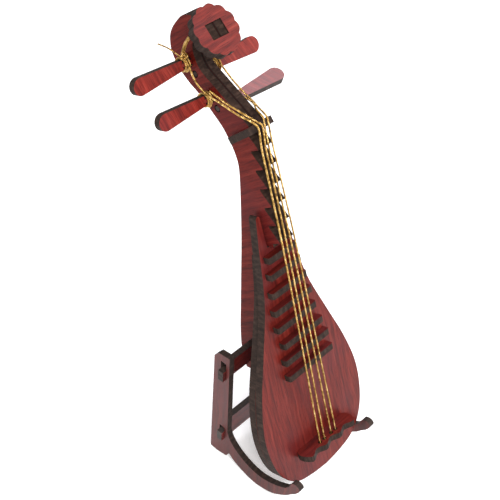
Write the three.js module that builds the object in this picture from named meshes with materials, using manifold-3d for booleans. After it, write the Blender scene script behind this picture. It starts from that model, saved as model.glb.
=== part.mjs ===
// Miniature pipa (four-string pear-shaped lute) assembled from flat laser-cut boards, resting on a
// two-legged display stand cut from the same kind of sheet. Millimetres, +Z up, X across the
// instrument, -Y towards the listener. The origin is the centre of the footprint on the ground.
//
// Instrument parts are drawn in the instrument's own frame: x across, y into the instrument (the
// soundboard's front face is y = 0), z along the neck from the pear's bottom tip.
import * as THREE from 'three';
import { mergeVertices } from 'three/addons/utils/BufferGeometryUtils.js';
import Module from 'manifold-3d';

const wasm = await Module();
wasm.setup();

// ---------------------------------------------------------------- driving dimensions
const BOARD = 3;            // thickness of the instrument's boards
const SHEET = 2.2;          // thickness of the stand, nut, frets and bridge
const GLUE = 0.1;           // planned gap between two glued faces
const FREE = 0.35;          // gap beside a part that can move or lift off
const LEAN = THREE.MathUtils.degToRad(24.4);   // backward lean of the soundboard
const TIP_HEIGHT = 8.4;     // height of the pear's bottom tip over the ground
const SPINE_HALF = 3;       // the two spine boards fill x = -3 ... 3
const CORD_R = 0.42;        // string radius
const PEG_SHANK_R = 1.6;    // corner radius of the eight-sided peg shank
const PEG_TIP_R = 0.85;      // the shank's thin tip, in the far spine board
const COIL_INNER_R = 1.75;  // wound turns sit round the shank
const COIL_OUTER_R = 2.6;
const FRAME_INNER_X = 17.7; // inner faces of the stand's side frames
const FRAME_LEAN = 0.075;   // backward lean of the stand's crossbars, y per z
const FOOTPRINT_CENTRE_Y = 39.993;

const RED = 0x8c3f38;
const BROWN = 0x54423a;
const GOLD = 0xc9a050;

// ---------------------------------------------------------------- helpers
const v2 = (points) => points.map(([x, y]) => new THREE.Vector2(x, y));
const v3 = (points) => points.map(([x, y, z]) => new THREE.Vector3(x, y, z));
const X_AXIS = new THREE.Vector3(1, 0, 0);
const Y_AXIS = new THREE.Vector3(0, 1, 0);
const Z_AXIS = new THREE.Vector3(0, 0, 1);

// The same outline as straight steps, counter-clockwise, with its holes clockwise.
function wound(shape, segments) {
  const ring = (points, clockwise) => {
    const open = points.filter((p, i) => p.distanceTo(points[(i + 1) % points.length]) > 1e-4);
    return THREE.ShapeUtils.isClockWise(open) === clockwise ? open : open.reverse();
  };
  const { shape: outer, holes } = shape.extractPoints(segments);
  const even = new THREE.Shape(ring(outer, false));
  even.holes = holes.map((hole) => new THREE.Path(ring(hole, true)));
  return even;
}

// A flat plate: the outline lies on the plane of `right` and `up` through `at`, and the
// thickness runs from that plane along right x up.
function plate(shape, thickness, { at = [0, 0, 0], right = X_AXIS, up = Z_AXIS } = {}, segments = 6) {
  const geometry = new THREE.ExtrudeGeometry(wound(shape, segments), {
    depth: thickness, bevelEnabled: false, steps: 1,
  });
  const frame = new THREE.Matrix4().makeBasis(right, up, new THREE.Vector3().crossVectors(right, up));
  frame.setPosition(...at);
  return geometry.applyMatrix4(frame);
}

// A plate drawn in the instrument's side view, (y, z) = (-w, u), standing between x0 and x1.
const sidePlate = (shape, x0, x1) => plate(shape, x1 - x0, { at: [x0, 0, 0], right: Y_AXIS, up: Z_AXIS });

function outline(points) {
  const shape = new THREE.Shape();
  shape.setFromPoints(v2(points));
  return shape;
}

function circleHole(x, y, radius) {
  const hole = new THREE.Path();
  hole.absarc(x, y, radius, 0, Math.PI * 2, true);
  return hole;
}

function rectHole(x0, x1, y0, y1) {
  return new THREE.Path(v2([[x0, y0], [x0, y1], [x1, y1], [x1, y0]]));
}

function solid(geometry) {
  const bare = geometry.clone();
  bare.deleteAttribute('normal');
  bare.deleteAttribute('uv');
  const merged = mergeVertices(bare, 1e-5);
  return new wasm.Manifold(new wasm.Mesh({
    numProp: 3,
    vertProperties: Float32Array.from(merged.attributes.position.array),
    triVerts: Uint32Array.from(merged.index.array),
  }));
}

const joined = (a, b) => fromSolid(solid(a).add(solid(b)));
const cut = (a, cutters) => fromSolid(cutters.reduce((rest, tool) => rest.subtract(solid(tool)), solid(a)));

function fromSolid(manifold) {
  const mesh = manifold.getMesh();
  const geometry = new THREE.BufferGeometry();
  geometry.setAttribute('position', new THREE.BufferAttribute(mesh.vertProperties, 3));
  geometry.setIndex(new THREE.BufferAttribute(mesh.triVerts, 1));
  return geometry;
}

function piece(parent, name, geometry, color, roughness = 0.55, metalness = 0) {
  geometry.computeVertexNormals();
  const mesh = new THREE.Mesh(geometry, new THREE.MeshStandardMaterial({ color, roughness, metalness }));
  mesh.name = name;
  parent.add(mesh);
  return mesh;
}

// A round cord along a hand-laid route.
function cord(points, radius, steps) {
  const section = new THREE.Shape();
  section.absarc(0, 0, radius, 0, Math.PI * 2, false);
  return new THREE.ExtrudeGeometry(section, {
    extrudePath: new THREE.CatmullRomCurve3(v3(points), false, 'centripetal'),
    steps, curveSegments: 4, bevelEnabled: false,
  });
}

const group = new THREE.Group();
const instrument = new THREE.Group();
instrument.position.set(0, -FOOTPRINT_CENTRE_Y, TIP_HEIGHT);
instrument.rotation.x = -LEAN;
group.add(instrument);
const stand = new THREE.Group();
stand.position.set(0, -FOOTPRINT_CENTRE_Y, 0);
group.add(stand);

// ---------------------------------------------------------------- pegs: where they stand
// turn: how far the blade is turned from lying parallel to the soundboard, degrees
const PEGS = [
  { name: 'peg_left_upper', side: -1, y: 15.8, z: 148.2, reach: 24.8, turn: 0 },
  { name: 'peg_right_upper', side: 1, y: 14.1, z: 144.3, reach: 23, turn: 15 },
  { name: 'peg_left_lower', side: -1, y: 9.7, z: 137.8, reach: 24.1, turn: 0 },
  { name: 'peg_right_lower', side: 1, y: 8, z: 134.1, reach: 24.8, turn: 55 },
];

// ---------------------------------------------------------------- head disc
const DISC_CENTRE = [0, 3.3, 157.5];   // centre of its front face
const DISC_TILT = THREE.MathUtils.degToRad(28.6);
const DISC_UP = new THREE.Vector3(0, Math.sin(DISC_TILT), Math.cos(DISC_TILT));
const DISC_FRONT = new THREE.Vector3().crossVectors(X_AXIS, DISC_UP);
const DISC_LOBES = 12;
const DISC_NOTCH_R = 7.2;
const DISC_LOBE_R = 8.7;               // radius of each lobe's control point
const DISC_HOLE = [SPINE_HALF + GLUE, 2.45];

// A point of the side view (y, z) given along the disc's up direction and behind its front face.
function onDisc(up, behind) {
  const p = new THREE.Vector3(...DISC_CENTRE).addScaledVector(DISC_UP, up).addScaledVector(DISC_FRONT, -behind);
  return [p.y, p.z];
}

function headDisc() {
  const shape = new THREE.Shape();
  const polar = (radius, lobe) => {
    const angle = (lobe / DISC_LOBES) * Math.PI * 2;
    return [radius * Math.sin(angle), radius * Math.cos(angle)];
  };
  shape.moveTo(...polar(DISC_NOTCH_R, 0));
  for (let lobe = 0; lobe < DISC_LOBES; lobe += 1) {
    shape.quadraticCurveTo(...polar(DISC_LOBE_R, lobe + 0.5), ...polar(DISC_NOTCH_R, lobe + 1));
  }
  shape.holes.push(rectHole(-DISC_HOLE[0], DISC_HOLE[0], -DISC_HOLE[1], DISC_HOLE[1]));
  const back = new THREE.Vector3(...DISC_CENTRE).addScaledVector(DISC_FRONT, -BOARD);
  return plate(shape, BOARD, { at: back.toArray(), right: X_AXIS, up: DISC_UP });
}

// ---------------------------------------------------------------- nut
const NUT_BACK = [5.2, 124.5];         // middle of the plate's back end in the side view
const NUT_DIR = new THREE.Vector3(0, -0.916, 0.401);
const NUT_SLOT = 10.45;                // the plate straddles the neck this deep
const NUT_START = 1.6;
const NUT_LENGTH = 11.8;
const NUT_HALF = 5;

const alongNut = (s, t) => [NUT_BACK[0] - 0.916 * s + 0.401 * t, NUT_BACK[1] + 0.401 * s + 0.916 * t];

function nut() {
  const inner = SPINE_HALF + GLUE;
  const shape = outline([
    [-NUT_HALF, NUT_START], [-inner, NUT_START], [-inner, NUT_SLOT], [inner, NUT_SLOT],
    [inner, NUT_START], [NUT_HALF, NUT_START],
    [NUT_HALF, NUT_LENGTH], [-NUT_HALF, NUT_LENGTH],
  ]);
  const [y, z] = alongNut(0, SHEET / 2);
  return plate(shape, SHEET, { at: [0, y, z], right: X_AXIS, up: NUT_DIR });
}

// ---------------------------------------------------------------- spine (neck, head and keel)
const TEETH = 6;
const TOOTH_TOP = 122.8;
const TOOTH_PITCH = 6.24;
const TOOTH_TIP_Y = -5.5;
const NECK_FRONT_Y = -2.4;
const KEEL_FRONT_Y = 6.1;              // the keel stands behind both soundboard layers

function teeth(shape) {
  for (let i = TEETH - 1; i >= 0; i -= 1) {
    const tip = TOOTH_TOP - i * TOOTH_PITCH;
    shape.lineTo(NECK_FRONT_Y, tip - 0.9);
    shape.lineTo(TOOTH_TIP_Y, tip - 0.2);
    shape.lineTo(TOOTH_TIP_Y, tip + 0.3);
    shape.lineTo(NECK_FRONT_Y, tip + 4.6);
  }
}

function spineShape() {
  const s = new THREE.Shape();
  s.moveTo(KEEL_FRONT_Y, 5);
  s.lineTo(KEEL_FRONT_Y, 86.4);
  s.lineTo(BOARD + GLUE, 86.4);
  s.lineTo(BOARD + GLUE, 89.4);
  s.lineTo(NECK_FRONT_Y, 89.4);
  teeth(s);
  s.lineTo(...alongNut(NUT_SLOT - GLUE, -1.2));
  s.lineTo(...alongNut(NUT_SLOT - GLUE, 1.8));
  s.lineTo(1.3, 135.3);
  s.splineThru(v2([[7, 141.2], [10.8, 145.2], [12.2, 148.3], [12.4, 152], [11.2, 154.6], [8.6, 155.3]]));
  s.lineTo(...onDisc(-2.75, BOARD + GLUE));
  s.lineTo(...onDisc(-DISC_HOLE[1] + GLUE, BOARD + GLUE));
  s.lineTo(...onDisc(-DISC_HOLE[1] + GLUE, 0.3));
  s.lineTo(...onDisc(DISC_HOLE[1] - GLUE, 0.3));
  s.lineTo(...onDisc(DISC_HOLE[1] - GLUE, BOARD + GLUE));
  s.lineTo(...onDisc(7.2, BOARD + GLUE));
  s.splineThru(v2([[13.1, 162.2], [16, 160.6], [19.3, 158], [21.3, 155], [22.1, 150.7], [20.8, 145.6]]));
  s.splineThru(v2([[17.7, 141.4], [14.5, 138], [10, 131.8], [7.3, 127.5], [5.4, 122], [4.7, 117.5], [5.1, 113.8]]));
  s.splineThru(v2([[6.5, 108.2], [9.8, 96.5], [13, 86], [17.4, 72.5], [21.3, 60.5], [24.2, 51.5], [25.9, 45]]));
  s.splineThru(v2([[26.5, 40], [26.5, 34.5]]));
  // the open channel that drops over the stand's upper crossbar
  s.lineTo(...inSideView(CHANNEL_BACK_Y, 29.5));
  s.lineTo(...inSideView(CHANNEL_BACK_Y, CHANNEL_TOP_Z));
  s.lineTo(...inSideView(CHANNEL_FRONT_Y, CHANNEL_TOP_Z));
  s.lineTo(...inSideView(CHANNEL_FRONT_Y, 24));
  s.splineThru(v2([[22.6, 22.5], [17, 14], [10.5, 8]]));
  s.closePath();
  return s;
}

function spineBoard(side) {
  const shape = spineShape();
  for (const peg of PEGS) {
    const radius = peg.side === side ? PEG_SHANK_R : PEG_TIP_R;
    shape.holes.push(circleHole(peg.y, peg.z, radius + FREE));
  }
  const near = GLUE / 2;
  return side < 0 ? sidePlate(shape, -SPINE_HALF, -near) : sidePlate(shape, near, SPINE_HALF);
}

// ---------------------------------------------------------------- stand crossbars, side view
const BARS = [
  { name: 'crossbar_upper', y: 34.9, bottom: 40.6, top: 48, tenonTop: 45, slotTop: 48.4 },
  { name: 'crossbar_lower', y: 32.4, bottom: 9.5, top: 18.6, tenonTop: 13.6, slotTop: 15.6 },
];
const TENON_END_X = FRAME_INNER_X + SHEET + 1.3;
const BAR_HALF_SWEEP = SHEET / 2 + FRAME_LEAN * (BARS[0].top - BARS[0].bottom) / 2;
const CHANNEL_FRONT_Y = BARS[0].y - BAR_HALF_SWEEP - FREE;
const CHANNEL_BACK_Y = BARS[0].y + BAR_HALF_SWEEP + FREE;
const CHANNEL_TOP_Z = BARS[0].top + 0.5;

// Stand side view (y, z) to the instrument's side view (y, z).
function inSideView(y, z) {
  const up = z - TIP_HEIGHT;
  return [y * Math.cos(LEAN) - up * Math.sin(LEAN), y * Math.sin(LEAN) + up * Math.cos(LEAN)];
}

// ---------------------------------------------------------------- soundboard
const HALF_WIDTHS = [[7.5, 0.78], [14.7, 3], [20.2, 9], [23, 18], [23.3, 29], [20.3, 42], [15.3, 56], [9.9, 72]];
const PRONG_TOP = 100.6;
const NOTCH_HALF = SPINE_HALF + 0.5;
const FRET_Z = [86.05, 80.4, 74.2, 68, 61.9, 55.2, 49.3, 43.1];
const FRET_HALF = [6.2, 7.0, 8.0, 8.7, 9.1, 9.4, 10.6, 10.8];
const FRET_SHIFT = [0, 0, 0, 0, 0, 1.2, 1.4, 1.6];
const FRET_HEIGHT = 2.6;
const BRIDGE_Z = 11.6;                 // lower face of the bridge plate
const BRIDGE_HALF = 12.6;
const BRIDGE_TABS = [-9.5, 9.4];

// Cutter for the mounting slot of a plate standing on the front layer: tab centre, lower face height.
function slotCutter(x, half, z) {
  const box = new THREE.BoxGeometry(2 * (half + GLUE), 3 * BOARD, SHEET + 2 * GLUE);
  return box.translate(x, BOARD / 2, z + SHEET / 2);
}

function soundboardFront() {
  const right = HALF_WIDTHS.map(([x, z]) => [x, z]);
  const left = [...right].reverse().map(([x, z]) => [-x, z]);
  const s = new THREE.Shape();
  s.moveTo(0, 0);
  s.splineThru(v2([...right, [7, 90]]));
  s.lineTo(5.4, PRONG_TOP - 0.8);
  s.quadraticCurveTo(4.6, PRONG_TOP + 0.6, NOTCH_HALF + 0.3, PRONG_TOP - 0.8);
  s.lineTo(NOTCH_HALF, 89);
  s.lineTo(-NOTCH_HALF, 89);
  s.lineTo(-NOTCH_HALF - 0.3, PRONG_TOP - 0.8);
  s.quadraticCurveTo(-4.6, PRONG_TOP + 0.6, -5.4, PRONG_TOP - 0.8);
  s.lineTo(-7, 90);
  s.splineThru(v2([...left, [0, 0]]));
  return cut(plate(s, BOARD, { at: [0, BOARD, 0], right: X_AXIS, up: Z_AXIS }), [
    ...FRET_Z.map((z, i) => slotCutter(FRET_SHIFT[i], FRET_HALF[i] / 2, z - SHEET / 2)),
    ...BRIDGE_TABS.map((x) => slotCutter(x, 1.8, BRIDGE_Z)),
  ]);
}

function soundboardBack() {
  const right = HALF_WIDTHS.map(([x, z]) => [x - Math.max(0, (z - 45) / 40) * 1.9, z]);
  const left = [...right].reverse().map(([x, z]) => [-x, z]);
  const s = new THREE.Shape();
  s.moveTo(0, 0);
  s.splineThru(v2([...right, [5.4, 86]]));
  s.lineTo(-5.4, 86);
  s.splineThru(v2([...left, [0, 0]]));
  return plate(s, BOARD - GLUE, { at: [0, 2 * BOARD, 0], right: X_AXIS, up: Z_AXIS });
}

// A plate standing straight out of the soundboard, drawn in (x, outward) with its tabs inward.
function standing(shape, z) {
  return plate(shape, SHEET, { at: [0, 0, z + SHEET], right: X_AXIS, up: new THREE.Vector3(0, -1, 0) });
}

function fret(i) {
  const half = FRET_HALF[i];
  const tab = half / 2;
  const shape = outline([
    [-half, GLUE], [-tab, GLUE], [-tab, -BOARD + GLUE], [tab, -BOARD + GLUE], [tab, GLUE], [half, GLUE],
    [half, FRET_HEIGHT - 0.4], [half - 0.4, FRET_HEIGHT], [-half + 0.4, FRET_HEIGHT],
    [-half, FRET_HEIGHT - 0.4],
  ]);
  return standing(shape, FRET_Z[i] - SHEET / 2).translate(FRET_SHIFT[i], 0, 0);
}

// ---------------------------------------------------------------- strings
const STRING_AT_BRIDGE = [-4, -1.74, 1.74, 4];
const STRING_AT_NUT = [-2.14, -0.57, 0.57, 2.14];
const STRING_HOLE_OUT = 3.7;           // height of the string holes over the soundboard
const [STRING_NUT_Y, STRING_NUT_Z] = alongNut(NUT_LENGTH + 0.75 + CORD_R, 0);

function bridge() {
  const wave = (x) => 5.6 - 0.75 * Math.cos((x / 7) * Math.PI * 2);
  const shape = new THREE.Shape();
  shape.moveTo(-BRIDGE_HALF + 0.8, GLUE);
  for (const x of BRIDGE_TABS) {
    shape.lineTo(x - 1.8, GLUE);
    shape.lineTo(x - 1.8, -BOARD + GLUE);
    shape.lineTo(x + 1.8, -BOARD + GLUE);
    shape.lineTo(x + 1.8, GLUE);
  }
  shape.lineTo(BRIDGE_HALF - 0.8, GLUE);
  shape.quadraticCurveTo(BRIDGE_HALF + 0.8, 2.2, BRIDGE_HALF - 0.7, 5);
  for (let x = 11; x >= -11; x -= 1) shape.lineTo(x, wave(x));
  shape.lineTo(-BRIDGE_HALF + 0.7, 5);
  shape.quadraticCurveTo(-BRIDGE_HALF - 0.8, 2.2, -BRIDGE_HALF + 0.8, GLUE);
  for (const x of STRING_AT_BRIDGE) shape.holes.push(circleHole(x, STRING_HOLE_OUT, CORD_R + 0.32));
  return standing(shape, BRIDGE_Z);
}

// Where a string leaves its peg's wound turns: in front of the peg, clear of the coil.
function besidePeg(peg, x, around) {
  const reach = COIL_OUTER_R + FREE + CORD_R;
  return [x, peg.y - reach * Math.sin(around), peg.z + reach * Math.cos(around)];
}

// The open stretch of a string, from below the bridge over the teeth and the nut to the neck's side.
function openRun(i) {
  const [b, n] = [STRING_AT_BRIDGE[i], STRING_AT_NUT[i]];
  const outY = -STRING_HOLE_OUT;
  const toothY = TOOTH_TIP_Y - CORD_R - 0.32;
  const across = (z) => n + (b - n) * (STRING_NUT_Z - z) / (STRING_NUT_Z - BRIDGE_Z);
  return [
    [b, outY, BRIDGE_Z - 1.2], [b, outY, BRIDGE_Z + SHEET + 0.6],
    [across(52), outY + (toothY - outY) * 0.5, 52],
    [across(91.6), toothY, 91.6], [across(110.6), toothY - 0.1, 110.6],
    [across(123), toothY - 0.1, 123], [n, STRING_NUT_Y, STRING_NUT_Z],
  ];
}

function stringRoutes() {
  const [leftUpper, rightUpper, leftLower, rightLower] = PEGS;
  return [
    [...openRun(0), [-2.9, -6.1, 131.2], [-4.3, -1.8, 134], [-5.3, 3.1, 137.3],
      besidePeg(leftLower, -6.2, 0.6), [-6.1, 10.9, 143.8], besidePeg(leftUpper, -5.7, 1.7)],
    [...openRun(1), [-1.6, -6, 131.1], [-3.1, -2, 134.2], [-4.2, 2.6, 137.2], besidePeg(leftLower, -4.5, 0.7)],
    [...openRun(2), [1.4, -5.9, 131], [2.4, -2.6, 132.9], [3.8, -0.4, 133.9], besidePeg(rightLower, 4.5, 1.1)],
    [...openRun(3), [2.7, -5.9, 131], [4, -1.8, 132.8], [4.9, 0.6, 133.8], besidePeg(rightLower, 6.1, 1.2),
      [5.3, 7.5, 139.2], besidePeg(rightUpper, 4.5, 1.4)],
  ];
}

// Loose cut ends, stiff enough to stand as they lie.
const TAILS = [
  { name: 'left_thick', radius: 0.8, route: [[-4.8, 15.2, 151.8], [-4.6, 13.4, 153.8], [-4.3, 11, 156.2]] },
  { name: 'left_thin', radius: 0.3, route: [[-5.6, 16.6, 151.4], [-8, 16.4, 153.8], [-11.8, 16, 156.8]] },
  { name: 'right', radius: CORD_R, route: [[4.5, 8.4, 137.6], [4.35, 9.6, 139.5], [4.3, 11, 141]] },
];

// ---------------------------------------------------------------- pegs and their wound turns
function pegAt(peg) {
  const holder = new THREE.Group();
  holder.position.set(0, peg.y, peg.z);
  holder.rotation.set(-THREE.MathUtils.degToRad(peg.turn), 0, 0);
  return holder;
}

// Paddle blade on an eight-sided shank through the near spine board, with a thin tip through the far one.
function pegGeometry(peg) {
  const root = SPINE_HALF + 3.1;
  const wide = 2.6;
  const blade = new THREE.Shape();
  blade.moveTo(peg.side * root, -1.5);
  const sweepEnd = peg.side * (peg.reach - wide);
  blade.lineTo(sweepEnd, -wide);
  blade.absarc(sweepEnd, 0, wide, -Math.PI / 2, Math.PI / 2, peg.side < 0);
  blade.lineTo(peg.side * root, 1.5);
  blade.closePath();
  const paddle = plate(blade, SHEET, { at: [0, SHEET / 2, 0], right: X_AXIS, up: Z_AXIS }, 8);
  const end = root + 0.6;
  const taperFrom = end - 1.1;       // the shank's end narrows to the blade's thickness
  const barrel = (from, to, fromRadius, toRadius) => {
    const length = new THREE.CylinderGeometry(toRadius, fromRadius, to - from, 8);
    length.rotateY(Math.PI / 8).rotateZ(-peg.side * Math.PI / 2);
    return length.translate(peg.side * (from + to) / 2, 0, 0);
  };
  const tip = barrel(-SPINE_HALF + 0.1, 1, PEG_TIP_R, PEG_TIP_R);
  const shank = barrel(FREE, taperFrom, PEG_SHANK_R, PEG_SHANK_R);
  return [tip, shank, barrel(taperFrom, end, PEG_SHANK_R, SHEET / 2)].reduce(joined, paddle);
}

function windings(peg) {
  const inner = SPINE_HALF + FREE;
  const width = 2.3;
  const profile = v2([
    [COIL_INNER_R, 0], [COIL_OUTER_R - 0.3, 0], [COIL_OUTER_R, 0.4], [COIL_OUTER_R, width - 0.4],
    [COIL_OUTER_R - 0.3, width], [COIL_INNER_R, width], [COIL_INNER_R, 0],
  ]);
  const ring = new THREE.LatheGeometry(profile, 20);
  ring.rotateZ(-Math.PI / 2).translate(peg.side < 0 ? -inner - width : inner, 0, 0);
  return ring;
}

// ---------------------------------------------------------------- stand side frames
function sideFrameShape() {
  const s = new THREE.Shape();
  s.moveTo(36.6, 0);
  s.lineTo(39.4, 48.6);
  s.lineTo(37.7, 51.2);
  s.lineTo(32.9, 52.2);
  s.lineTo(29.9, 14.8);
  // hooked arm: inner edge forward to the tip, then back along the outer edge
  s.splineThru(v2([[28.2, 11.6], [24.6, 8.5], [19.7, 6.45], [14.3, 5.84], [9.65, 7], [5.4, 9.2], [2.2, 11.6]]));
  s.splineThru(v2([[0.9, 13.8], [0.6, 15.4], [0, 16.8], [-1.6, 17.5], [-3.1, 17], [-3.4, 15.6], [-2.2, 13]]));
  s.splineThru(v2([[-0.5, 10.8], [1.7, 7.7], [7.1, 2.7], [13, 0.35], [16.2, 0]]));
  s.lineTo(18, 0);
  s.splineThru(v2([[24, 1.55], [27.9, 3.8]]));
  s.lineTo(29, 1.3);
  s.lineTo(33.5, 0);
  s.closePath();
  for (const bar of BARS) {
    const y = (z) => bar.y + FRAME_LEAN * (z - (bar.bottom + bar.top) / 2);
    const half = SHEET / 2 + GLUE;
    const [z0, z1] = [bar.bottom - GLUE, bar.slotTop];
    s.holes.push(new THREE.Path(v2([[y(z0) - half, z0], [y(z1) - half, z1], [y(z1) + half, z1], [y(z0) + half, z0]])));
  }
  return s;
}

function sideFrame(side) {
  const [x0, x1] = side < 0
    ? [-FRAME_INNER_X - SHEET, -FRAME_INNER_X] : [FRAME_INNER_X, FRAME_INNER_X + SHEET];
  return sidePlate(sideFrameShape(), x0, x1);
}

function crossbar(bar) {
  const shoulder = FRAME_INNER_X - GLUE;
  const middle = (bar.bottom + bar.top) / 2;
  const rise = (z) => z - middle;
  const shape = outline([
    [-TENON_END_X, rise(bar.bottom)], [TENON_END_X, rise(bar.bottom)], [TENON_END_X, rise(bar.tenonTop)],
    [shoulder, rise(bar.tenonTop)], [shoulder, rise(bar.top)], [-shoulder, rise(bar.top)],
    [-shoulder, rise(bar.tenonTop)], [-TENON_END_X, rise(bar.tenonTop)],
  ]);
  const up = new THREE.Vector3(0, FRAME_LEAN, 1).normalize();
  const normal = new THREE.Vector3().crossVectors(X_AXIS, up);
  const at = new THREE.Vector3(0, bar.y, middle).addScaledVector(normal, -SHEET / 2);
  return plate(shape, SHEET, { at: at.toArray(), right: X_AXIS, up });
}

// ---------------------------------------------------------------- assembly
piece(stand, 'side_frame_left', sideFrame(-1), RED);
piece(stand, 'side_frame_right', sideFrame(1), RED);
for (const bar of BARS) piece(stand, bar.name, crossbar(bar), BROWN);

piece(instrument, 'spine_left', spineBoard(-1), RED);
piece(instrument, 'spine_right', spineBoard(1), RED);
piece(instrument, 'soundboard_front', soundboardFront(), RED);
piece(instrument, 'soundboard_back', soundboardBack(), BROWN);
FRET_Z.forEach((_, i) => piece(instrument, `fret_${i + 1}`, fret(i), BROWN));
piece(instrument, 'nut', nut(), BROWN);
piece(instrument, 'bridge', bridge(), RED);
piece(instrument, 'head_disc', headDisc(), RED);

for (const peg of PEGS) {
  const holder = pegAt(peg);
  instrument.add(holder);
  piece(holder, peg.name, pegGeometry(peg), RED);
  piece(holder, `${peg.name}_windings`, windings(peg), GOLD, 0.35, 0.8);
}

stringRoutes().forEach((route, i) => piece(instrument, `string_${i + 1}`, cord(route, CORD_R, 34), GOLD, 0.35, 0.8));
for (const tail of TAILS) {
  piece(instrument, `string_tail_${tail.name}`, cord(tail.route, tail.radius, 6), GOLD, 0.35, 0.8);
}

export default group;
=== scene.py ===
"""Miniature pipa on its display stand: materials, twisted cord, stage, light and camera."""
import math
import random

import bmesh
import bpy
from mathutils import Matrix, Vector


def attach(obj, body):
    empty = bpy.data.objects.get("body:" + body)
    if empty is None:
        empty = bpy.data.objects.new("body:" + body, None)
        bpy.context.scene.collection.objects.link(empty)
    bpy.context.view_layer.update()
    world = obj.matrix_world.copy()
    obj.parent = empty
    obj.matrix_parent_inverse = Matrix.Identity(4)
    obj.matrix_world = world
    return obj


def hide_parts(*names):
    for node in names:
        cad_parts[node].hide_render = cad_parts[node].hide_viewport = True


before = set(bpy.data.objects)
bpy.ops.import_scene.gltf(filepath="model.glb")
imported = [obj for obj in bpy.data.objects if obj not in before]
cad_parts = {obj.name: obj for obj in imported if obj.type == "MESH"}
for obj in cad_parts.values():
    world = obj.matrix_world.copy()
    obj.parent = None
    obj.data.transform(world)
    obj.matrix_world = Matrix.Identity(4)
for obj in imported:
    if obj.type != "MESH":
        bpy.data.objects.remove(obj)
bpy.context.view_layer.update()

random.seed(7)

# Points on the instrument are (across, into the board, up the neck) from the pear's bottom tip, in
# millimetres; place() takes them to the object's frame.
MM = 0.001
PER_METRE = 1000.0
LEAN = math.radians(24.4)              # backward lean of the soundboard
TIP = Vector((0, -39.993, 8.4))        # the pear's bottom tip in the object's frame, mm

# Pegs: side, then the axis's place in the instrument's side view.
PEGS = {
    "peg_left_upper": (-1, 15.8, 148.2),
    "peg_right_upper": (1, 14.1, 144.3),
    "peg_left_lower": (-1, 9.7, 137.8),
    "peg_right_lower": (1, 8, 134.1),
}
# Degrees each paddle is turned from lying along the board.
PEG_TURNS = {"peg_left_upper": 0, "peg_right_upper": 15, "peg_left_lower": 0, "peg_right_lower": 55}
# Knots over two pegs' turns: x, how far in front of and above the peg's axis, and size.
KNOTS = {
    "peg_left_upper": (-5.4, 1.6, 2.2, 1.35),
    "peg_right_upper": (4.0, 0.6, 3.2, 1.45),
}
KNOT_TURN = 0.4                        # radians
KNOT_STEPS = 30

# The cord, in shares of its own radius where no unit is given.
THREAD_R = 0.32                        # radius of the cord, mm
THIN_THREAD_R = 0.26                   # radius of its thinner loose end, mm
STRAND_R = 0.53
STRAND_OFFSET = 0.5                    # from the cord's centre line to a strand's
TWIST = 4.6                            # length of one twist
POINTS_PER_TWIST = 9
PHASE_SPREAD = 6                       # radians over which the strands' start varies

# The turns wound on a peg's shank; x is outward from the spine.
COIL_R = 1.98                          # middle of the wound turns, over the shank
COIL_TURNS = 3.2
COIL_START, COIL_PITCH = 3.75, 0.78    # x of the innermost turn, and from one turn to the next
COIL_POINTS = 14                       # in each turn
CROSSING_START, CROSSING_RUN = 6.1, 2.1    # x of the turn laid over the others, and how far in it comes
CROSSING_LIFT = 0.5                    # its rise over the others
CROSSING_FROM = 0.15                   # where it starts, in turns
CROSSING_POINTS = 13
PEG_REACH = 3.37                       # from a peg's axis to a string that arrives on its turns

# The strings between the bridge and the nut.
BRIDGE_X = (-4, -1.74, 1.74, 4)
NUT_X = (-2.14, -0.57, 0.57, 2.14)
BRIDGE_Z = 11.6
BRIDGE_RUN_Y = -3.7                    # the strings where they pass the bridge
BRIDGE_RUN_Z = (10.4, 14.4)
HIGH_FRET_Y = -6.24                    # the strings over the high frets
OVER_FRETS = ((-4.97, 52), (HIGH_FRET_Y, 91.6), (HIGH_FRET_Y - 0.1, 110.6), (HIGH_FRET_Y - 0.1, 123))
BRIDGE_KNOT_AT = (-3.3, 10.9)
BRIDGE_KNOT_SIZE = 0.36
NUT_FOOT_Y, NUT_FOOT_Z = 5.2, 124.5
NUT_COS, NUT_SIN = 0.916, 0.401        # slope of the nut's plate
NUT_HEIGHT = 12.97                     # from its foot to where the strings cross it

# The loose ends. The thick one is two cords side by side, each shifted from one line in x and z.
THICK_END = ((-5, 15.6, 150), (-4.6, 13.4, 153.8), (-4.3, 10.8, 156.4))
THICK_SHIFTS = ((-0.3, 0.12), (0.26, -0.16))
THIN_END = ((-5.3, 15.6, 150.2), (-8, 16.4, 153.8), (-11.8, 16, 156.8))
RIGHT_END = ((4.5, 8.4, 137.6), (4.35, 9.6, 139.5), (4.3, 11, 141))

# Rounding of the cut edges, mm.
BOARD_EDGE = 0.14
FRET_EDGE = 0.12
PEG_EDGE = 0.2
EASED_ANGLE = math.radians(40)         # edges sharper than this are rounded

# Colours: ramp stops for the noises, then single colours.
ROSEWOOD = ((0.30, (0.060, 0.005, 0.004)), (0.44, (0.112, 0.009, 0.006)),
            (0.56, (0.155, 0.014, 0.009)), (0.72, (0.21, 0.027, 0.018)))
FIBRE_LINES = ((0.34, (0.28, 0.22, 0.22)), (0.45, (0.88, 0.85, 0.85)), (0.6, (1.08, 1.08, 1.08)))
BURNT_EDGE = ((0.3, (0.011, 0.006, 0.0045)), (0.5, (0.026, 0.0145, 0.0105)), (0.72, (0.054, 0.031, 0.023)))
GOLD = ((0.3, (0.13, 0.065, 0.015)), (0.5, (0.5, 0.3, 0.08)), (0.72, (0.9, 0.65, 0.28)))
FLOOR = ((0.3, (0.93, 0.93, 0.93)), (0.7, (0.95, 0.95, 0.95)))
PORE = (0.03, 0.007, 0.006, 1)
PURPLE_PATCH = (0.10, 0.018, 0.022, 1)
PLY_LINE = (0.022, 0.013, 0.010, 1)
SEAM_SHADOW = (0.006, 0.004, 0.003, 1)
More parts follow.
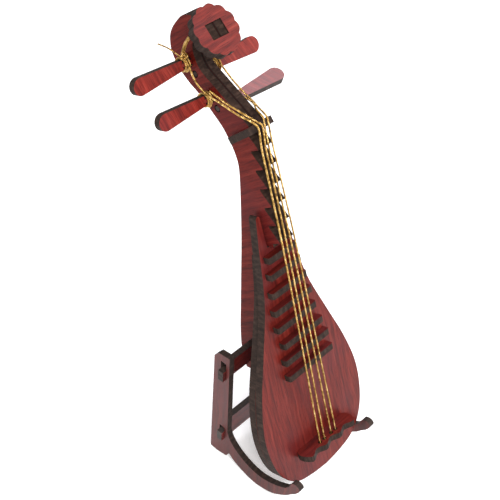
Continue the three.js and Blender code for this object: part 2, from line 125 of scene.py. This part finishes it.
BURNT_RIM = (0.012, 0.007, 0.005, 1)

FLOOR_HALF = 3.0                       # metres
FLOOR_DROP = 0.0002                    # keeps the floor just under the stand's feet, metres

CAMERA_AT = (-0.18284, -0.13673, 0.31265)
CAMERA_AZIMUTH = math.radians(-52)
CAMERA_ELEVATION = math.radians(45.2)
CAMERA_ROLL = math.radians(7.6)
CAMERA_LENS = 74.24


# ------------------------------------------------------------------ the object's frame
def direction(x, y, z):
    """An instrument direction (across, into the board, up the neck) in the object's frame."""
    c, s = math.cos(LEAN), math.sin(LEAN)
    return Vector((x, y * c + z * s, -y * s + z * c))


def place(x, y, z):
    """An instrument point in millimetres to the object's frame in metres."""
    return (direction(x, y, z) + TIP) * MM


ACROSS = Vector((1, 0, 0))
INTO = direction(0, 1, 0)
ALONG = direction(0, 0, 1)
NECK_GRAIN = direction(0, -0.94, 0.34)
NUT_NORMAL = direction(0, NUT_SIN, NUT_COS)
DISC_TILT = math.radians(28.6)         # back from the soundboard's plane
DISC_UP = direction(0, math.sin(DISC_TILT), math.cos(DISC_TILT))
DISC_FRONT = ACROSS.cross(DISC_UP)
BAR_UP = Vector((0, 0.0748, 0.9972))   # up the stand's slightly leaning crossbars


# ------------------------------------------------------------------ materials
class Tree:
    """Short calls for building one material's nodes."""

    def __init__(self, name):
        self.material = bpy.data.materials.new(name)
        self.material.use_nodes = True
        self.tree = self.material.node_tree
        self.shader = self.tree.nodes["Principled BSDF"]

    def node(self, kind, **settings):
        made = self.tree.nodes.new(kind)
        for key, value in settings.items():
            setattr(made, key, value)
        return made

    def feed(self, socket, value):
        if isinstance(value, bpy.types.NodeSocket):
            self.tree.links.new(value, socket)
        else:
            socket.default_value = value

    def maths(self, operation, a, b=0.0, c=0.0):
        made = self.node("ShaderNodeMath", operation=operation)
        for socket, value in zip(made.inputs, (a, b, c)):
            self.feed(socket, value)
        return made.outputs[0]

    def times(self, value, factor):
        return self.maths("MULTIPLY", value, factor)

    def dot(self, vector, axis):
        made = self.node("ShaderNodeVectorMath", operation="DOT_PRODUCT")
        self.feed(made.inputs[0], vector)
        made.inputs[1].default_value = axis
        return made.outputs["Value"]

    def join(self, x, y, z):
        made = self.node("ShaderNodeCombineXYZ")
        for socket, value in zip(made.inputs, (x, y, z)):
            self.feed(socket, value)
        return made.outputs[0]

    def noise(self, vector, scale=1.0, detail=4.0, roughness=0.55):
        made = self.node("ShaderNodeTexNoise")
        self.feed(made.inputs["Vector"], vector)
        made.inputs["Scale"].default_value = scale
        made.inputs["Detail"].default_value = detail
        made.inputs["Roughness"].default_value = roughness
        return made.outputs["Fac"]

    def ramp(self, value, stops):
        made = self.node("ShaderNodeValToRGB")
        self.feed(made.inputs[0], value)
        elements = made.color_ramp.elements
        while len(elements) < len(stops):
            elements.new(0.5)
        for element, (position, colour) in zip(elements, stops):
            element.position = position
            element.color = (*colour, 1)
        return made.outputs["Color"]

    def mix(self, factor, a, b, blend="MIX"):
        made = self.node("ShaderNodeMix", data_type="RGBA", blend_type=blend)
        self.feed(made.inputs["Factor"], factor)
        self.feed(made.inputs["A"], a)
        self.feed(made.inputs["B"], b)
        return made.outputs["Result"]

    def step(self, value, low, high):
        made = self.node("ShaderNodeMapRange", interpolation_type="SMOOTHSTEP")
        self.feed(made.inputs["Value"], value)
        made.inputs["From Min"].default_value = low
        made.inputs["From Max"].default_value = high
        return made.outputs["Result"]

    def bump(self, height, strength, distance):
        made = self.node("ShaderNodeBump")
        made.inputs["Strength"].default_value = strength
        made.inputs["Distance"].default_value = distance
        self.feed(made.inputs["Height"], height)
        self.feed(self.shader.inputs["Normal"], made.outputs["Normal"])


def board(name, grain, face, lightness=1.0, offset=0.0, seam=False, gloss=0.2):
    """Laser-cut board: red rosewood pattern on the faces across `face`, burnt brown cut edges."""
    t = Tree(name)
    grain = Vector(grain).normalized()
    face = Vector(face).normalized()
    side = grain.cross(face).normalized()
    coordinates = t.node("ShaderNodeTexCoord")
    point = coordinates.outputs["Object"]
    along = t.maths("MULTIPLY_ADD", t.dot(point, grain), PER_METRE, offset)
    across = t.maths("MULTIPLY_ADD", t.dot(point, side), PER_METRE, offset * 1.7)
    depth = t.times(t.dot(point, face), PER_METRE)

    def stretched(lengthwise, sideways, crosswise=across, third=depth, **settings):
        """Noise with one rate per millimetre along the grain and another across it."""
        return t.noise(t.join(t.times(along, lengthwise), t.times(crosswise, sideways), third), **settings)

    # Printed face: wavering streaks, fine fibres, pores and darker patches.
    drift = stretched(0.04, 0.1, third=0.0, detail=2)
    bent = t.maths("MULTIPLY_ADD", drift, 3.5, across)
    streak = stretched(0.05, 0.75, bent, detail=6, roughness=0.6)
    fibre = stretched(0.2, 4.6, bent, detail=4, roughness=0.7)
    pores = stretched(0.5, 8.0, detail=2)
    patch = t.noise(t.join(along, across, depth), scale=0.045, detail=1)
    rosewood = t.ramp(streak, [(at, [part * lightness for part in colour]) for at, colour in ROSEWOOD])
    printed = t.mix(0.9, rosewood, t.ramp(fibre, FIBRE_LINES), "MULTIPLY")
    printed = t.mix(t.times(t.step(pores, 0.62, 0.74), 0.4), printed, PORE)
    printed = t.mix(t.times(t.step(patch, 0.45, 0.7), 0.35), printed, PURPLE_PATCH)

    # Cut edge: uneven char, faint ply lines and, in the spine, the seam between its two boards.
    char = stretched(0.9, 0.9, third=t.times(depth, 0.3), scale=1.2, detail=4, roughness=0.55)
    plies = t.maths("ABSOLUTE", t.maths("SINE", t.times(depth, 3.3)))
    burnt = t.mix(t.times(plies, 0.25), t.ramp(char, BURNT_EDGE), PLY_LINE)
    if seam:
        beside_seam = t.maths("ABSOLUTE", t.times(t.dot(point, ACROSS), PER_METRE))
        burnt = t.mix(t.step(beside_seam, 0.12, 0.5), SEAM_SHADOW, burnt)

    # The two meet on the eased edge, in a darker rim.
    facing = t.maths("ABSOLUTE", t.dot(coordinates.outputs["Normal"], face))
    on_face = t.step(facing, 0.8, 0.96)
    on_rim = t.times(t.step(facing, 0.25, 0.6), t.maths("SUBTRACT", 1.0, on_face))
    edge = t.mix(t.times(on_rim, 0.85), burnt, BURNT_RIM)
    t.feed(t.shader.inputs["Base Color"], t.mix(on_face, edge, printed))
    edge_roughness = t.maths("MULTIPLY_ADD", fibre, 0.2, 0.66)
    t.feed(t.shader.inputs["Roughness"], t.maths("MULTIPLY_ADD", on_face, -0.34, edge_roughness))
    t.shader.inputs["Specular IOR Level"].default_value = gloss
    height = t.maths("ADD", t.times(fibre, 0.6), t.times(char, 0.4))
    t.bump(height, strength=0.25, distance=0.00012)
    return t.material


def gold_thread():
    """Shiny metallic thread with slightly darker patches and finely varied roughness."""
    t = Tree("gold_thread")
    point = t.node("ShaderNodeTexCoord").outputs["Object"]
    patch = t.noise(point, scale=900, detail=3)
    fine = t.noise(point, scale=5200, detail=2)
    t.feed(t.shader.inputs["Base Color"], t.ramp(patch, GOLD))
    t.shader.inputs["Metallic"].default_value = 0.95
    t.feed(t.shader.inputs["Roughness"], t.maths("MULTIPLY_ADD", fine, 0.2, 0.18))
    t.bump(fine, strength=0.35, distance=0.00004)
    return t.material


def floor_paint():
    """Pale matt floor, lit a little from within."""
    t = Tree("pale_floor")
    point = t.node("ShaderNodeTexCoord").outputs["Object"]
    t.feed(t.shader.inputs["Base Color"], t.ramp(t.noise(point, scale=6, detail=2), FLOOR))
    t.shader.inputs["Emission Color"].default_value = (1, 1, 1, 1)
    t.shader.inputs["Emission Strength"].default_value = 0.22
    t.shader.inputs["Roughness"].default_value = 0.9
    t.shader.inputs["Specular IOR Level"].default_value = 0.1
    return t.material


# ------------------------------------------------------------------ boards
def finish_board(node, material, edge=BOARD_EDGE):
    """Gives a board its material and eased edges."""
    piece = bpy.data.objects[node]
    piece.data.materials.clear()
    piece.data.materials.append(material)
    bevel = piece.modifiers.new("eased_edges", "BEVEL")
    bevel.width = edge * MM
    bevel.segments = 2
    bevel.limit_method = "ANGLE"
    bevel.angle_limit = EASED_ANGLE


def dress_boards():
    """Finishes every board, fret and peg; `offset` keeps two boards from sharing a pattern."""
    spine = {"grain": NECK_GRAIN, "face": ACROSS, "lightness": 0.85, "seam": True, "gloss": 0.06}
    stand_side = {"grain": BAR_UP, "face": ACROSS, "lightness": 0.62, "gloss": 0.32}
    crossbar = {"grain": ACROSS, "face": ACROSS.cross(BAR_UP)}
    finishes = {
        "soundboard_front": board("soundboard_wood", ALONG, INTO, 0.95),
        "soundboard_back": board("soundboard_back_wood", ALONG, INTO, 0.9, offset=40),
        "spine_left": board("spine_left_wood", **spine, offset=11),
        "spine_right": board("spine_right_wood", **spine, offset=63),
        "head_disc": board("disc_wood", ACROSS + DISC_UP * 0.1, DISC_FRONT, 1.1, offset=21),
        "nut": board("nut_wood", ACROSS, NUT_NORMAL, 0.75, offset=5),
        "bridge": board("bridge_wood", ACROSS, ALONG, 0.85, offset=31),
        "side_frame_left": board("frame_left_wood", **stand_side, offset=8),
        "side_frame_right": board("frame_right_wood", **stand_side, offset=77),
        # The two crossbars are the same board: the upper bar's darker tone is painted shade and the lower
        # bar's lighter tone is painted light.
        "crossbar_upper": board("bar_upper_wood_painted_shade", **crossbar, lightness=0.55, offset=15, gloss=0.4),
        "crossbar_lower": board("bar_lower_wood_painted_light", **crossbar, lightness=1.0, offset=55, gloss=0.9),
    }
    for node, material in finishes.items():
        finish_board(node, material)
    fret_wood = board("fret_wood", ACROSS, ALONG, 0.7, offset=3)
    for number in range(1, 9):
        finish_board(f"fret_{number}", fret_wood, FRET_EDGE)
    for number, name in enumerate(PEGS):
        turn = math.radians(PEG_TURNS[name])
        face = INTO * math.cos(turn) - ALONG * math.sin(turn)
        grain = face.cross(ACROSS) + ACROSS * 0.3
        gloss = 0.5 if name == "peg_right_lower" else 0.2
        peg_wood = board(f"{name}_wood", grain, face, 1.45, offset=19 * number, gloss=gloss)
        finish_board(name, peg_wood, PEG_EDGE)


# ------------------------------------------------------------------ twisted cord
def spacing(p, q):
    """How far apart two points count in a centripetal curve; never zero."""
    return max((q - p).length, 1e-7) ** 0.5


def between(p, q, low, high, at):
    """The point for `at` on the line through p at `low` and q at `high`."""
    return p * ((high - at) / (high - low)) + q * ((at - low) / (high - low))


def smooth_route(points, step):
    """Evenly spaced points along a centripetal Catmull-Rom curve through `points` (metres)."""
    ends = [points[0] * 2 - points[1], *points, points[-1] * 2 - points[-2]]
    fine = []
    for a, b, c, d in zip(ends, ends[1:], ends[2:], ends[3:]):
        at_b = spacing(a, b)
        at_c = at_b + spacing(b, c)
        at_d = at_c + spacing(c, d)
        count = max(4, int((c - b).length / (step * 0.5)))
        for i in range(count):
            at = at_b + (at_c - at_b) * i / count
            ab = between(a, b, 0.0, at_b, at)
            bc = between(b, c, at_b, at_c, at)
            cd = between(c, d, at_c, at_d, at)
            left = between(ab, bc, 0.0, at_c, at)
            right = between(bc, cd, at_b, at_d, at)
            fine.append(between(left, right, at_b, at_c, at))
    fine.append(points[-1])
    even, carried = [fine[0]], 0.0
    for p, q in zip(fine, fine[1:]):
        carried += (q - p).length
        if carried >= step:
            even.append(q)
            carried = 0.0
    even.append(fine[-1])
    return even


def cross_sections(path):
    """Each point of `path` with two directions square to the path, carried along it untwisted."""
    normal = (path[1] - path[0]).orthogonal().normalized()
    for i, point in enumerate(path):
        tangent = (path[min(i + 1, len(path) - 1)] - path[max(i - 1, 0)]).normalized()
        normal = (normal - tangent * normal.dot(tangent)).normalized()
        yield point, normal, tangent.cross(normal)


def sweep(mesh, path, radius, sides=6):
    """Adds a closed round tube along `path` to the mesh."""
    rings = []
    for point, normal, binormal in cross_sections(path):
        ring = []
        for k in range(sides):
            angle = 2 * math.pi * k / sides
            outward = normal * math.cos(angle) + binormal * math.sin(angle)
            ring.append(mesh.verts.new(point + outward * radius))
        rings.append(ring)
    for low, high in zip(rings, rings[1:]):
        for k in range(sides):
            mesh.faces.new((low[k], low[(k + 1) % sides], high[(k + 1) % sides], high[k]))
    mesh.faces.new(rings[0][::-1])
    mesh.faces.new(rings[-1])


def strands(path, radius, pitch, phase, count=3):
    """The helical centre lines of a cord's strands round `path`."""
    lines = [[] for _ in range(count)]
    travelled, last = 0.0, path[0]
    for point, normal, binormal in cross_sections(path):
        travelled += (point - last).length
        last = point
        for k, line in enumerate(lines):
            angle = phase + 2 * math.pi * (travelled / pitch + k / count)
            outward = normal * math.cos(angle) + binormal * math.sin(angle)
            line.append(point + outward * radius * STRAND_OFFSET)
    return lines


def twisted(name, routes, body, material, node, radius=THREAD_R):
    """One piece of three-strand cord laid along each route (lists of instrument points)."""
    mesh = bmesh.new()
    thickness = radius * MM
    pitch = thickness * TWIST
    for route in routes:
        path = smooth_route([place(*point) for point in route], pitch / POINTS_PER_TWIST)
        for line in strands(path, thickness, pitch, phase=random.random() * PHASE_SPREAD):
            sweep(mesh, line, thickness * STRAND_R)
    data = bpy.data.meshes.new(name)
    mesh.to_mesh(data)
    mesh.free()
    for polygon in data.polygons:
        polygon.use_smooth = True
    piece = bpy.data.objects.new(name, data)
    bpy.context.collection.objects.link(piece)
    data.materials.append(material)
    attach(piece, body)
    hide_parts(node)


def open_run(at_bridge, at_nut):
    """The stretch of a string from under the bridge, over the high frets, to the nut."""
    nut_y = NUT_FOOT_Y - NUT_COS * NUT_HEIGHT
    nut_z = NUT_FOOT_Z + NUT_SIN * NUT_HEIGHT
    route = [(at_bridge, BRIDGE_RUN_Y, z) for z in BRIDGE_RUN_Z]
    for y, z in OVER_FRETS:
        x = at_nut + (at_bridge - at_nut) * (nut_z - z) / (nut_z - BRIDGE_Z)
        route.append((x, y, z))
    return route + [(at_nut, nut_y, nut_z)]


def beside_peg(name, x, around):
    """Where a string arrives on a peg's turns, `around` radians about the peg's axis."""
    _, y, z = PEGS[name]
    return (x, y - PEG_REACH * math.sin(around), z + PEG_REACH * math.cos(around))


def runs_to_pegs():
    """For strings 1 to 4, the points from the nut to the turns on a peg."""
    return [
        [(-2.9, -6.1, 131.2), (-4.3, -1.8, 134), (-5.3, 3.1, 137.3),
         beside_peg("peg_left_lower", -6.2, 0.6), (-6.1, 10.9, 143.8),
         beside_peg("peg_left_upper", -5.7, 1.7)],
        [(-1.6, -6, 131.1), (-3.1, -2, 134.2), (-4.2, 2.6, 137.2),
         beside_peg("peg_left_lower", -4.5, 0.7)],
        [(1.4, -5.9, 131), (2.4, -2.6, 132.9), (3.8, -0.4, 133.9),
         beside_peg("peg_right_lower", 4.5, 1.1)],
        [(2.7, -5.9, 131), (4, -1.8, 132.8), (4.9, 0.6, 133.8),
         beside_peg("peg_right_lower", 6.1, 1.2), (5.3, 7.5, 139.2),
         beside_peg("peg_right_upper", 4.5, 1.4)],
    ]


def wound_turns(name):
    """Tight turns of cord round a peg's shank, with one turn crossing over them."""
    side, y, z = PEGS[name]

    def ring(x, radius, angle):
        return (side * x, y + radius * math.cos(angle), z + radius * math.sin(angle))

    steps = int(COIL_TURNS * COIL_POINTS)
    width, wound = COIL_PITCH * COIL_TURNS, 2 * math.pi * COIL_TURNS
    coil = [ring(COIL_START + width * i / steps, COIL_R, wound * i / steps) for i in range(steps + 1)]
    last = CROSSING_POINTS - 1
    crossing = [ring(CROSSING_START - CROSSING_RUN * i / last,
                     COIL_R + CROSSING_LIFT * math.sin(math.pi * i / last),
                     2 * math.pi * (CROSSING_FROM + i / CROSSING_POINTS))
                for i in range(CROSSING_POINTS)]
    return [coil, crossing]


def knot(centre, size, turn):
    """A small overhand knot: a trefoil with its lobes across the instrument."""
    points = []
    for i in range(KNOT_STEPS + 1):
        a = 2 * math.pi * i / KNOT_STEPS + turn
        x = math.sin(a) + 2 * math.sin(2 * a)
        z = math.cos(a) - 2 * math.cos(2 * a)
        points.append((centre[0] + x * size / 3,
                       centre[1] - math.sin(3 * a) * size / 3,
                       centre[2] + z * size / 3))
    return points


def string_the_instrument(gold):
    """The four strings with their knots, the three loose ends, and the turns on the pegs."""
    for number, run in enumerate(runs_to_pegs()):
        route = open_run(BRIDGE_X[number], NUT_X[number]) + run
        end = knot((BRIDGE_X[number], *BRIDGE_KNOT_AT), BRIDGE_KNOT_SIZE, number)
        twisted(f"cord_{number + 1}", [route, end], "instrument", gold, f"string_{number + 1}")

    pair = [[(x + dx, y, z + dz) for x, y, z in THICK_END] for dx, dz in THICK_SHIFTS]
    twisted("cord_end_thick", pair, "instrument", gold, "string_tail_left_thick")
    twisted("cord_end_thin", [THIN_END], "instrument", gold, "string_tail_left_thin", THIN_THREAD_R)
    twisted("cord_end_right", [RIGHT_END], "instrument", gold, "string_tail_right")

    for name, (_, y, z) in PEGS.items():
        routes = wound_turns(name)
        if name in KNOTS:
            x, forward, above, size = KNOTS[name]
            routes.append(knot((x, y - forward, z + above), size, KNOT_TURN))
        twisted(f"{name}_turns", routes, f"{name}_body", gold, f"{name}_windings")


# ------------------------------------------------------------------ stage, light and camera
def stage():
    """A plain floor just under the stand."""
    corners = [(x * FLOOR_HALF, y * FLOOR_HALF, 0) for x, y in ((-1, -1), (1, -1), (1, 1), (-1, 1))]
    mesh = bpy.data.meshes.new("floor")
    mesh.from_pydata(corners, [], [(0, 1, 2, 3)])
    floor = bpy.data.objects.new("floor", mesh)
    bpy.context.collection.objects.link(floor)
    mesh.materials.append(floor_paint())
    floor.location.z = -FLOOR_DROP


def area_light(name, location, target, size, power, colour):
    """A round soft light at `location`, facing `target`."""
    data = bpy.data.lights.new(name, "AREA")
    data.shape = "DISK"
    data.size = size
    data.energy = power
    data.color = colour
    light = bpy.data.objects.new(name, data)
    bpy.context.collection.objects.link(light)
    light.location = location
    light.rotation_euler = (Vector(target) - Vector(location)).to_track_quat("-Z", "Y").to_euler()


def lights():
    """Three soft lights, the last for the sheen on the right-hand pegs, and an even white surround."""
    middle = (0, 0, 0.07)
    pegs = (0.01, 0.02, 0.125)
    area_light("key", (-0.35, -0.45, 0.75), middle, size=0.4, power=7.0, colour=(1, 0.985, 0.965))
    area_light("fill", (0.6, -0.35, 0.5), middle, size=0.6, power=3.0, colour=(0.96, 0.97, 1))
    area_light("sheen", (0.46, 0.15, 0.80), pegs, size=0.22, power=3.2, colour=(0.95, 0.93, 1))
    world = bpy.data.worlds.new("studio")
    bpy.context.scene.world = world
    world.use_nodes = True
    background = world.node_tree.nodes["Background"]
    background.inputs["Color"].default_value = (1, 1, 1, 1)
    background.inputs["Strength"].default_value = 0.6


def camera():
    """The camera, front left and above, rolled a little."""
    sin_a, cos_a = math.sin(CAMERA_AZIMUTH), math.cos(CAMERA_AZIMUTH)
    sin_e, cos_e = math.sin(CAMERA_ELEVATION), math.cos(CAMERA_ELEVATION)
    back = Vector((sin_a * cos_e, -cos_a * cos_e, sin_e))
    level = Vector((cos_a, sin_a, 0))
    raised = back.cross(level)
    right = level * math.cos(CAMERA_ROLL) + raised * math.sin(CAMERA_ROLL)
    up = back.cross(right)
    data = bpy.data.cameras.new("camera")
    data.sensor_width = 36
    data.lens = CAMERA_LENS
    data.clip_start = 0.01
    eye = bpy.data.objects.new("camera", data)
    bpy.context.collection.objects.link(eye)
    turned = Matrix((right, up, back)).transposed().to_4x4()
    eye.matrix_world = Matrix.Translation(CAMERA_AT) @ turned
    bpy.context.scene.camera = eye


camera()
dress_boards()
string_the_instrument(gold_thread())
stage()
lights()
bpy.context.scene.view_settings.view_transform = "Standard"
